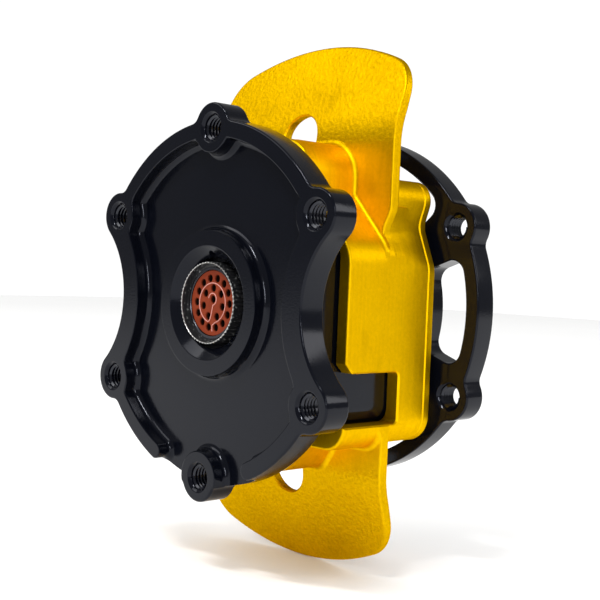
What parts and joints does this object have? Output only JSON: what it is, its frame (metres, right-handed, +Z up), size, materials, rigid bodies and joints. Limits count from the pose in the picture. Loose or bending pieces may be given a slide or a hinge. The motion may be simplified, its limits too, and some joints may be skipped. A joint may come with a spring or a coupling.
{
  "type": "quick-release steering coupling",
  "caption": "Quick-release coupling of two bolt flanges: a two-wing sprung sleeve frees ball-locked halves that carry a round multi-way connector.",
  "frame": {"origin": "centre of the wheel plate's bolt circle, on its mounting face", "axes": "+Y along the coupling axis towards the column, +Z up through the upper wing, +X right as seen from the wheel"},
  "size_m": [0.074, 0.0461, 0.1106],
  "materials": {
    "black_anodised": "satin black anodised, machined",
    "gold_anodised": "satin gold anodised, bead blasted wings",
    "bright_steel": "ground",
    "spring_steel": "drawn wire",
    "black_steel": "black oxide",
    "ball_steel": "polished",
    "bronze": "turned",
    "contact_gold": "gold plated",
    "shell_black": "black zinc",
    "shell_edge": "turned, dark",
    "insert_orange": "moulded thermoset",
    "seal_rubber": "matt"
  },
  "bodies": {
    "coupling": {"wheel_plate": "black_anodised", "hub_body": "black_anodised", "hub_dowels": "bright_steel", "guide_pins": "bright_steel", "return_springs": "spring_steel", "retaining_ring": "black_steel", "spigot": "bright_steel", "spigot_o_ring": "seal_rubber", "column_flange": "black_anodised", "spigot_screws": "black_steel", "wheel_shell": "shell_edge", "wheel_jam_nut": "shell_black", "wheel_insert": "insert_orange", "wheel_contacts": "contact_gold", "column_shell": "shell_black", "column_insert": "insert_orange", "column_contacts": "contact_gold", "column_nut": "shell_black", "interface_seal": "seal_rubber"},
    "sleeve": {"release_sleeve": "gold_anodised", "guide_bushes": "bronze"},
    "ball_1": {"lock_ball_1": "ball_steel"},
    "ball_2": {"lock_ball_2": "ball_steel"},
    "ball_3": {"lock_ball_3": "ball_steel"},
    "ball_4": {"lock_ball_4": "ball_steel"},
    "ball_5": {"lock_ball_5": "ball_steel"},
    "ball_6": {"lock_ball_6": "ball_steel"}
  },
  "joints": [
    {"name": "sleeve_slide", "type": "slide", "parent": "coupling", "child": "sleeve", "axis": [0, -1, 0], "range_m": [0, 0.005], "stiffness_N_per_m": 3000, "springref_m": -0.004, "deforming": ["return_springs"]},
    {"name": "ball_1_lift", "type": "slide", "parent": "coupling", "child": "ball_1", "axis": [0.5, 0, 0.866], "range_m": [0, 0.00151]},
    {"name": "ball_2_lift", "type": "slide", "parent": "coupling", "child": "ball_2", "axis": [1, 0, 0], "range_m": [0, 0.00151]},
    {"name": "ball_3_lift", "type": "slide", "parent": "coupling", "child": "ball_3", "axis": [0.5, 0, -0.866], "range_m": [0, 0.00151]},
    {"name": "ball_4_lift", "type": "slide", "parent": "coupling", "child": "ball_4", "axis": [-0.5, 0, -0.866], "range_m": [0, 0.00151]},
    {"name": "ball_5_lift", "type": "slide", "parent": "coupling", "child": "ball_5", "axis": [-1, 0, 0], "range_m": [0, 0.00151]},
    {"name": "ball_6_lift", "type": "slide", "parent": "coupling", "child": "ball_6", "axis": [-0.5, 0, 0.866], "range_m": [0, 0.00151]}
  ],
  "couplings": [
    {"joint": "ball_1_lift", "follows": "sleeve_slide", "ratio": 0.3},
    {"joint": "ball_2_lift", "follows": "sleeve_slide", "ratio": 0.3},
    {"joint": "ball_3_lift", "follows": "sleeve_slide", "ratio": 0.3},
    {"joint": "ball_4_lift", "follows": "sleeve_slide", "ratio": 0.3},
    {"joint": "ball_5_lift", "follows": "sleeve_slide", "ratio": 0.3},
    {"joint": "ball_6_lift", "follows": "sleeve_slide", "ratio": 0.3}
  ]
}
